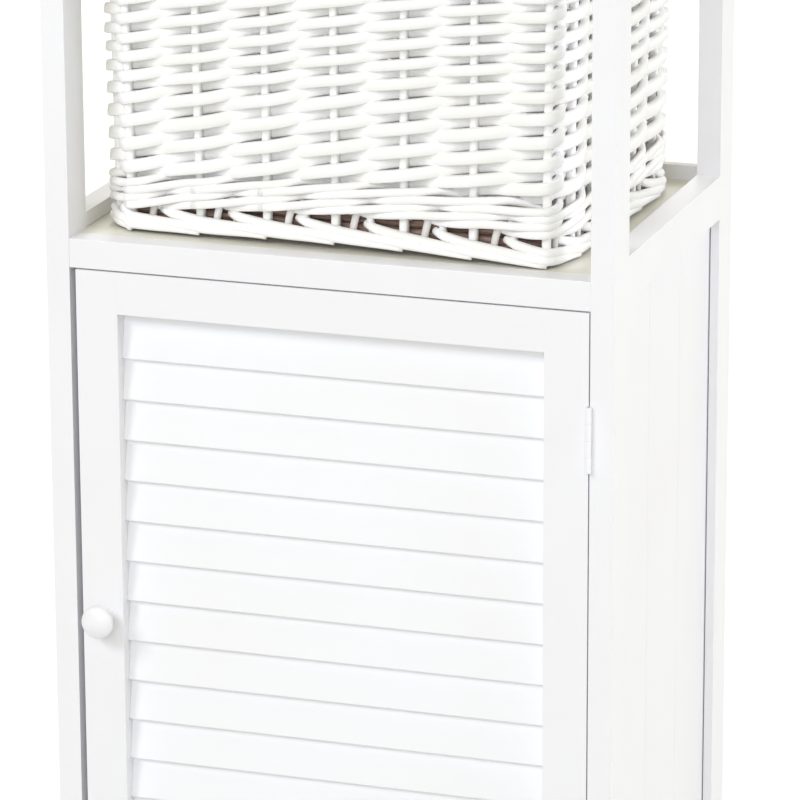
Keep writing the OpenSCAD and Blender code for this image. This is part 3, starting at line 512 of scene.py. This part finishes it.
def sag_at(sag, turn):
    """How far a bowed line lies off its level at that turn."""
    whole = math.floor(turn)
    here = sag[whole % STAKE_COUNT]
    following = sag[(whole + 1) % STAKE_COUNT]
    return mix(here, following, smoothstep(0, 1, turn - whole))


def row_height(row):
    """The height of a row above the basket's bottom: thick butts below, thinner rods above."""
    low = min(row - 0.5, THICK_ROWS)
    high = max(row - 0.5 - THICK_ROWS, 0)
    return ROWS_START + ROW_PITCH_LOW * low + ROW_PITCH_HIGH * high


def rod_radius(row):
    """Half the height of a rod at that row."""
    return mix(ROW_PITCH_LOW, ROW_PITCH_HIGH, smoothstep(*THINNING_ROWS, row)) * ROD_FULLNESS


def steps(start, end, per_unit=RINGS_PER_BAY):
    """Even values from start to end."""
    count = max(2, round((end - start) * per_unit))
    return [start + (end - start) * i / count for i in range(count + 1)]


def wander(place, phase, amount, rate):
    """A small slow drift along a rod, so that no two rods run quite the same."""
    return amount * math.sin(rate * place + phase)


# ---------------------------------------------------------------- basket: rods
# Paint came from outside and inside: a surface is painted up to PAINTED_DEPTH past the stakes' line, and
# shows willow from BARE_DEPTH; that brown deep in the wall is also painted shade for the gaps of the
# weave.
# FACING_BLEND is how gently the outer half of a rod goes over into its inner half.
PAINTED_DEPTH = 1.5
BARE_DEPTH = 7.0
FACING_BLEND = 0.35
# How far along the streaks each rod starts after the one before it, in metres.
STREAK_STEP = 0.37
# A direction that rises less than this counts as level.
LEVEL_RISE = 0.01


class Weave:
    """Collects swept rods into one mesh, with how far each point shows willow and painted shade, and its
    place on its rod.
    """

    def __init__(self):
        self.points, self.faces, self.bare, self.place = [], [], [], []
        self.rods = 0

    def rod(self, samples, closed=False, bare_all=None, sides=ROD_SIDES, square=1.0):
        """samples are (centre, outward, depth, radius out, radius up), with depth as on_ring takes it.

        A square below 1 flattens the faces of the rod's section. bare_all is one bareness for all of it.
        """
        first = len(self.points)
        count = len(samples)
        self.rods += 1
        offset = self.rods * STREAK_STEP
        travelled = 0.0
        for i, (centre, outward, depth, radius_out, radius_up) in enumerate(samples):
            before = samples[i - 1][0] if i or closed else centre
            after = samples[(i + 1) % count][0] if i + 1 < count or closed else centre
            tangent = (after - before).normalized()
            out = (outward - tangent * outward.dot(tangent)).normalized()
            up = out.cross(tangent)
            if up.z < 0 or (abs(up.z) < LEVEL_RISE and up.x < 0):
                up = -up
            if i:
                travelled += (centre - samples[i - 1][0]).length
            for side in range(sides):
                angle = TAU * side / sides
                across = signed_power(math.cos(angle), square)
                rise = signed_power(math.sin(angle), square)
                self.points.append(centre + out * radius_out * across + up * radius_up * rise)
                reach = depth + radius_out * across
                self.bare.append(self.bareness(reach, across) if bare_all is None else bare_all)
                along = travelled * MM + offset
                self.place.append((along, across * radius_out * MM, rise * radius_up * MM))
        self.skin(first, count, sides, closed)

    def skin(self, first, count, sides, closed):
        """The faces over count rings of points, with flat ends on a rod that isn't closed."""
        bays = count if closed else count - 1
        for i in range(bays):
            low = first + i * sides
            high = first + (i + 1) % count * sides
            for side in range(sides):
                beside = (side + 1) % sides
                self.faces.append((low + side, low + beside, high + beside, high + side))
        if not closed:
            last = first + (count - 1) * sides
            self.faces.append(tuple(first + side for side in reversed(range(sides))))
            self.faces.append(tuple(last + side for side in range(sides)))

    @staticmethod
    def bareness(depth, facing):
        """0 where the spray reached and 1 in the depth of the wall, where the brown is also painted shade;
        facing is 1 outside and -1 inside.
        """
        from_outside = 1 - smoothstep(-BARE_DEPTH, -PAINTED_DEPTH, depth)
        from_inside = smoothstep(PAINTED_DEPTH, BARE_DEPTH, depth)
        return mix(from_inside, from_outside, smoothstep(-FACING_BLEND, FACING_BLEND, facing))

    def build(self, name):
        """One mesh object in the frame's axes, turned and set on the shelf."""
        turned = Matrix.Rotation(BASKET_TURN, 4, "Z")
        placed = [BASKET_HOME + turned @ (p * MM) for p in self.points]
        mesh = bpy.data.meshes.new(name)
        mesh.from_pydata(placed, [], self.faces)
        mesh.attributes.new("bare", "FLOAT", "POINT").data.foreach_set("value", self.bare)
        flat = [value for place in self.place for value in place]
        mesh.attributes.new("rod_place", "FLOAT_VECTOR", "POINT").data.foreach_set("vector", flat)
        mesh.shade_smooth()
        mesh.update()
        obj = bpy.data.objects.new(name, mesh)
        bpy.context.scene.collection.objects.link(obj)
        obj.data.materials.append(FINISH["painted_wicker"])
        return obj


SEED = 11
chance = random.Random(SEED)

# A rod swings WEAVE_OUT out and in past the stakes, and both its ends lie behind a stake. No two rods are
# quite as high or as thick.
WEAVE_OUT = 4.9
WEAVE_SHAPE = 0.85
ROD_DEPTH = 3.1
ROD_SQUARE = 0.5
ROD_START = 0.62
ROD_TAIL = 0.3
ROD_LEAN = 0.3
ROD_SPREAD = (0.96, 1.04)


def weave_walls():
    """Randed walls: a rod goes before one stake and behind the next, and climbs a row at every stake."""
    weave = Weave()
    for rod in range(STAKE_COUNT):
        lean = chance.uniform(-ROD_LEAN, ROD_LEAN)
        thick = chance.uniform(*ROD_SPREAD)
        phase = chance.uniform(0, TAU)
        last = 1
        while row_height(last) + sag_at(ROW_SAG, last - rod) < ROWS_END:
            last += 2
        samples = []
        for row in steps(ROD_START, last + ROD_TAIL):
            turn = row - rod
            at_end = row < 1 or row > last
            swing = -1.0 if at_end else signed_power(math.cos(math.pi * row), WEAVE_SHAPE)
            depth = WEAVE_OUT * swing + wander(row, phase, amount=0.2, rate=1.3)
            height = row_height(row) + sag_at(ROW_SAG, turn) + lean
            height += wander(row, 2 * phase, amount=0.25, rate=0.9)
            centre, outward = on_ring(turn, depth, height)
            samples.append((centre, outward, depth, ROD_DEPTH * thick, rod_radius(row) * thick))
        weave.rod(samples, square=ROD_SQUARE)
    return weave


STAKE_RADIUS = 3.0
STAKE_TAPER = (1.06, 0.9)
STAKE_SQUARE = 0.65
STAKE_BOTTOM = 9.0
STAKE_TOP = BASKET_HEIGHT - 12
STAKE_RINGS_PER_MM = 0.12

# The short ends of rods between two stakes at the foot: (turns past the stake below and above, depth).
SHORT_PEGS = ((0.27, 0.34, 0.6), (0.56, 0.5, -0.8))
PEG_TOP = 31.0
PEG_DEPTH = 2.4
PEG_WIDTH = 2.6
PEG_BARE = 0.42
PEG_RINGS_PER_MM = 0.3
PEG_SPREAD = 0.03


def weave_stakes():
    """The stakes, from inside the foot to inside the rim, and the short ends between them at the foot."""
    weave = Weave()
    for stake in range(STAKE_COUNT):
        phase = chance.uniform(0, TAU)
        samples = []
        for height in steps(STAKE_BOTTOM, STAKE_TOP, STAKE_RINGS_PER_MM):
            depth = wander(height, phase, amount=0.3, rate=0.03)
            radius = STAKE_RADIUS * mix(*STAKE_TAPER, height / BASKET_HEIGHT)
            centre, outward = on_ring(stake, depth, height)
            samples.append((centre, outward, depth, radius, radius))
        weave.rod(samples, square=STAKE_SQUARE)
        for at_foot, at_top, depth in SHORT_PEGS:
            samples = []
            for height in steps(STAKE_BOTTOM, PEG_TOP, PEG_RINGS_PER_MM):
                along = mix(at_foot, at_top, smoothstep(STAKE_BOTTOM, PEG_TOP, height))
                centre, outward = on_ring(stake + along + PEG_SPREAD * math.sin(phase), depth, height)
                samples.append((centre, outward, depth, PEG_DEPTH, PEG_WIDTH))
            weave.rod(samples, bare_all=PEG_BARE)
    return weave


WALE_LEVELS = (30.0, 40.4)
WALE_RODS = 3
WALE_OUT = 6.0
WALE_RISE = 5.2
WALE_HALF_DEPTH = 2.6
WALE_HALF_HEIGHT = 2.9
WALE_SQUARE = 0.85


def wale_wave(phase):
    """(depth, rise) as parts of their swing: up before two stakes, and back down behind the third."""
    if phase < 1:
        return 1.0, phase - 0.5
    depth = math.cos(math.pi * (phase - 1))
    if phase < 1.5:
        return depth, phase - 0.5
    if phase < 2.5:
        return depth, math.cos(math.pi * (phase - 1.5))
    return depth, phase - 3.5


def weave_wale():
    """Two rounds of three-rod wale at the foot of the walls."""
    weave = Weave()
    for level in WALE_LEVELS:
        for rod in range(WALE_RODS):
            phase = chance.uniform(0, TAU)
            samples = []
            for turn in steps(rod, rod + STAKE_COUNT)[:-1]:
                swing, rise = wale_wave((turn - rod) % WALE_RODS)
                depth = WALE_OUT * swing
                height = level + WALE_RISE * rise + sag_at(WALE_SAG, turn)
                height += wander(turn, phase, amount=0.25, rate=1)
                centre, outward = on_ring(turn, depth, height)
                samples.append((centre, outward, depth, WALE_HALF_DEPTH, WALE_HALF_HEIGHT))
            weave.rod(samples, closed=True, square=WALE_SQUARE)
    return weave


# A foot rod's way, as (stakes ahead, depth, height), and where it grows from its point and thins again.
FOOT_PATH = ((0.44, -1.0, 15.6), (0.58, 3.2, 13.8), (1.0, 5.0, 10.6), (2.0, 6.2, 5.4), (3.02, 6.4, 2.3))
FOOT_RADIUS = 3.3
FOOT_POINT = 0.84
FOOT_POINT_ENDS = (0.42, 0.6)
FOOT_TIP = 0.62
FOOT_TIP_STARTS = (2, 3)
# The bare rods inside the foot, as (height, depth).
FOOT_LINING = ((8.0, -6.0), (13.5, -6.5), (20.0, -7.0), (26.0, -7.0))
LINING_DEPTH = 3.0
LINING_HEIGHT = 3.2


def follow(path, at):
    """(depth, height) along a short list of (place, depth, height)."""
    for (start, depth_0, height_0), (end, depth_1, height_1) in zip(path, path[1:]):
        if at <= end:
            t = (at - start) / (end - start)
            return mix(depth_0, depth_1, t), mix(height_0, height_1, t)
    return path[-1][1:]


def foot_radius(ahead):
    """A foot rod's radius: it is a little slimmer where it comes out, and thin at its cut end."""
    grown = mix(FOOT_POINT, 1.0, smoothstep(*FOOT_POINT_ENDS, ahead))
    return FOOT_RADIUS * grown * mix(1.0, FOOT_TIP, smoothstep(*FOOT_TIP_STARTS, ahead))


def weave_foot():
    """The foot: a rod comes out between two stakes and runs down before three, to its end on the shelf."""
    weave = Weave()
    for stake in range(STAKE_COUNT):
        samples = []
        for ahead in steps(FOOT_PATH[0][0], FOOT_PATH[-1][0]):
            depth, height = follow(FOOT_PATH, ahead)
            radius = foot_radius(ahead)
            turn = stake + ahead
            centre, outward = on_ring(turn, depth, height + sag_at(FOOT_SAG, turn))
            samples.append((centre, outward, depth, radius, radius))
        weave.rod(samples)
    for height, depth in FOOT_LINING:
        samples = []
        for turn in steps(0, STAKE_COUNT)[:-1]:
            centre, outward = on_ring(turn, depth, height)
            samples.append((centre, outward, depth, LINING_DEPTH, LINING_HEIGHT))
        weave.rod(samples, closed=True, bare_all=1.0)
    return weave


RIM_RADIUS = 4.3
RIM_SPIRAL = 5.3
RIM_STRANDS = 4
RIM_OUT = 0.6
RIM_BELOW_TOP = 0.6
RIM_RINGS_PER_BAY = 14


def weave_rim():
    """The rim: strands laid round each other like a rolled border."""
    weave = Weave()
    level = BASKET_HEIGHT - RIM_SPIRAL - RIM_RADIUS - RIM_BELOW_TOP
    for strand in range(RIM_STRANDS):
        samples = []
        for turn in steps(0, STAKE_COUNT, RIM_RINGS_PER_BAY)[:-1]:
            angle = TAU * (turn / RIM_STRANDS + strand / RIM_STRANDS)
            depth = RIM_SPIRAL * math.cos(angle) + RIM_OUT
            height = level + RIM_SPIRAL * math.sin(angle)
            centre, outward = on_ring(turn, depth, height)
            samples.append((centre, outward, depth, RIM_RADIUS, RIM_RADIUS))
        weave.rod(samples, closed=True, bare_all=0.0)
    return weave


BASE_HEIGHT = 21.0
BASE_MARGIN = 7.0
BASE_BARE = 0.1
BASE_STICKS = 7
BASE_STICK_RADIUS = 3.4
BASE_STICK_RINGS_PER_MM = 0.05
BASE_WEAVER_STEP = 6.6
BASE_WEAVER_RADIUS = 2.9
BASE_WEAVER_LIFT = 3.3
BASE_WEAVER_SIDES = 8
BASE_WEAVER_RINGS_PER_MM = 0.2
# The base's rods have one bareness throughout, so their depth isn't used.
NO_DEPTH = 0
X_AXIS = Vector((1, 0, 0))
Z_AXIS = Vector((0, 0, 1))


def weave_base():
    """The base: long sticks with thinner rods woven over and under them."""
    weave = Weave()
    half_x = RING_HALF_X - BASE_MARGIN
    half_y = RING_HALF_Y - BASE_MARGIN
    gap = 2 * half_y / BASE_STICKS
    for stick in range(BASE_STICKS):
        y = -half_y + (stick + 0.5) * gap
        samples = []
        for x in steps(-half_x, half_x, BASE_STICK_RINGS_PER_MM):
            centre = Vector((x, y, BASE_HEIGHT))
            samples.append((centre, Z_AXIS, NO_DEPTH, BASE_STICK_RADIUS, BASE_STICK_RADIUS))
        weave.rod(samples, bare_all=BASE_BARE)
    count = int(2 * half_x / BASE_WEAVER_STEP)
    for weaver in range(count + 1):
        x = -half_x + weaver * 2 * half_x / count
        lift = BASE_WEAVER_LIFT if weaver % 2 else -BASE_WEAVER_LIFT
        samples = []
        for y in steps(-half_y, half_y, BASE_WEAVER_RINGS_PER_MM):
            swing = math.cos(math.pi * (y + half_y - gap / 2) / gap)
            centre = Vector((x, y, BASE_HEIGHT + lift * swing))
            samples.append((centre, X_AXIS, NO_DEPTH, BASE_WEAVER_RADIUS, BASE_WEAVER_RADIUS))
        weave.rod(samples, bare_all=BASE_BARE, sides=BASE_WEAVER_SIDES)
    return weave


def dress_basket():
    """The basket's six woven pieces; four of them stand in for the basket's plain solids."""
    pieces = (
        ("basket_woven_walls", weave_walls(), ("basket_walls",)),
        ("basket_stakes", weave_stakes(), ()),
        ("basket_wale", weave_wale(), ()),
        ("basket_foot_rods", weave_foot(), ("basket_foot_border",)),
        ("basket_rolled_rim", weave_rim(), ("basket_top_border",)),
        ("basket_woven_base", weave_base(), ("basket_base",)),
    )
    for name, weave, replaced in pieces:
        obj = weave.build(name)
        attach(obj, "basket")
        if replaced:
            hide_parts(*replaced)


dress_basket()


# ---------------------------------------------------------------- floor, light and camera
def show_to_camera(tree, lit, shown):
    """A shader that is shown to the camera, in mirrors and through glass, and lit for all other rays."""
    path = tree.nodes.new("ShaderNodeLightPath")
    seen = path.outputs["Is Camera Ray"]
    for ray in ("Is Glossy Ray", "Is Transmission Ray"):
        either = tree.nodes.new("ShaderNodeMath")
        either.operation = "MAXIMUM"
        tree.links.new(seen, either.inputs[0])
        tree.links.new(path.outputs[ray], either.inputs[1])
        seen = either.outputs[0]
    chosen = tree.nodes.new("ShaderNodeMixShader")
    tree.links.new(seen, chosen.inputs[0])
    tree.links.new(lit, chosen.inputs[1])
    tree.links.new(shown, chosen.inputs[2])
    return chosen.outputs[0]


FLOOR_HALF = 14.0
FLOOR_TONE = (0.62, 0.62, 0.62, 1)
FLOOR_GLOW = 0.7


def make_floor():
    """A plain pale floor, white to the camera except where the object shades it."""
    mesh = bpy.data.meshes.new("floor")
    h = FLOOR_HALF
    mesh.from_pydata([(-h, -h, 0), (h, -h, 0), (h, h, 0), (-h, h, 0)], [], [(0, 1, 2, 3)])
    floor = bpy.data.objects.new("floor", mesh)
    bpy.context.scene.collection.objects.link(floor)
    material = bpy.data.materials.new("pale_floor")
    material.use_nodes = True
    tree = material.node_tree
    tree.nodes.clear()
    out = tree.nodes.new("ShaderNodeOutputMaterial")
    matt = tree.nodes.new("ShaderNodeBsdfDiffuse")
    matt.inputs["Color"].default_value = FLOOR_TONE
    glow = tree.nodes.new("ShaderNodeEmission")
    glow.inputs["Color"].default_value = WHITE
    glow.inputs["Strength"].default_value = FLOOR_GLOW
    glowing = tree.nodes.new("ShaderNodeAddShader")
    tree.links.new(matt.outputs[0], glowing.inputs[0])
    tree.links.new(glow.outputs[0], glowing.inputs[1])
    tree.links.new(show_to_camera(tree, matt.outputs[0], glowing.outputs[0]), out.inputs["Surface"])
    mesh.materials.append(material)


WORLD_TONE = (1.0, 0.95, 0.54, 1)
WORLD_STRENGTH = 0.36
BACKGROUND_STRENGTH = 1.0


def make_world():
    """Even studio light from all round, and a white background for the camera."""
    world = bpy.data.worlds.new("studio")
    bpy.context.scene.world = world
    world.use_nodes = True
    tree = world.node_tree
    tree.nodes.clear()
    out = tree.nodes.new("ShaderNodeOutputWorld")
    lit = tree.nodes.new("ShaderNodeBackground")
    lit.inputs["Color"].default_value = WORLD_TONE
    lit.inputs["Strength"].default_value = WORLD_STRENGTH
    shown = tree.nodes.new("ShaderNodeBackground")
    shown.inputs["Color"].default_value = WHITE
    shown.inputs["Strength"].default_value = BACKGROUND_STRENGTH
    tree.links.new(show_to_camera(tree, lit.outputs[0], shown.outputs[0]), out.inputs["Surface"])


LIGHT_AIM = Vector((0, -0.1, 0.6))
LAMPS = {
    "key": dict(azimuth=-30, elevation=33, distance=6.0, size=1.8, power=135, tone=(0.872, 0.893, 1.0)),
    "front": dict(azimuth=8, elevation=18, distance=6.0, size=3.4, power=145, tone=(0.872, 0.893, 1.0)),
    "side": dict(azimuth=95, elevation=27, distance=5.0, size=2.4, power=150, tone=(0.872, 0.89, 1.0)),
    "back": dict(azimuth=200, elevation=35, distance=5.0, size=2.0, power=40, tone=(1.0, 1.0, 1.0)),
}


def make_lamp(name, azimuth, elevation, distance, size, power, tone):
    """A square soft box; azimuth 0 is in front of the object and 90 is on its right."""
    a, e = math.radians(azimuth), math.radians(elevation)
    back = Vector((math.sin(a) * math.cos(e), -math.cos(a) * math.cos(e), math.sin(e)))
    light = bpy.data.lights.new(name, "AREA")
    light.shape = "SQUARE"
    light.size = size
    light.energy = power
    light.color = tone
    lamp = bpy.data.objects.new(name, light)
    lamp.location = LIGHT_AIM + back * distance
    lamp.rotation_mode = "QUATERNION"
    lamp.rotation_quaternion = (-back).to_track_quat("-Z", "Y")
    bpy.context.scene.collection.objects.link(lamp)


CAMERA_PLACE = Vector((1.07166, -3.13249, 1.40015))
CAMERA_AZIMUTH = math.radians(18.794845)
CAMERA_PITCH = math.radians(16.569340)
CAMERA_ROLL = math.radians(-0.251196)
CAMERA_LENS = 223.87
CAMERA_SENSOR = 36.0
CAMERA_NEAR = 0.1
CAMERA_FAR = 60


def make_camera():
    """The photograph's viewpoint: in front of the tower, to its right and above it, with a long lens."""
    az, pitch, roll = CAMERA_AZIMUTH, CAMERA_PITCH, CAMERA_ROLL
    ahead = Vector((-math.sin(az) * math.cos(pitch), math.cos(az) * math.cos(pitch), -math.sin(pitch)))
    level = Vector((math.cos(az), math.sin(az), 0))
    upward = level.cross(ahead)
    right = level * math.cos(roll) + upward * math.sin(roll)
    up = upward * math.cos(roll) - level * math.sin(roll)
    turn = Matrix((right, up, -ahead)).transposed()
    data = bpy.data.cameras.new("camera")
    data.lens = CAMERA_LENS
    data.sensor_width = CAMERA_SENSOR
    data.clip_start = CAMERA_NEAR
    data.clip_end = CAMERA_FAR
    camera = bpy.data.objects.new("camera", data)
    camera.matrix_world = Matrix.Translation(CAMERA_PLACE) @ turn.to_4x4()
    bpy.context.scene.collection.objects.link(camera)
    bpy.context.scene.camera = camera


make_floor()
make_world()
for lamp_name, lamp_settings in LAMPS.items():
    make_lamp(lamp_name, **lamp_settings)
make_camera()
bpy.context.scene.view_settings.view_transform = "Standard"

bpy.context.view_layer.update()
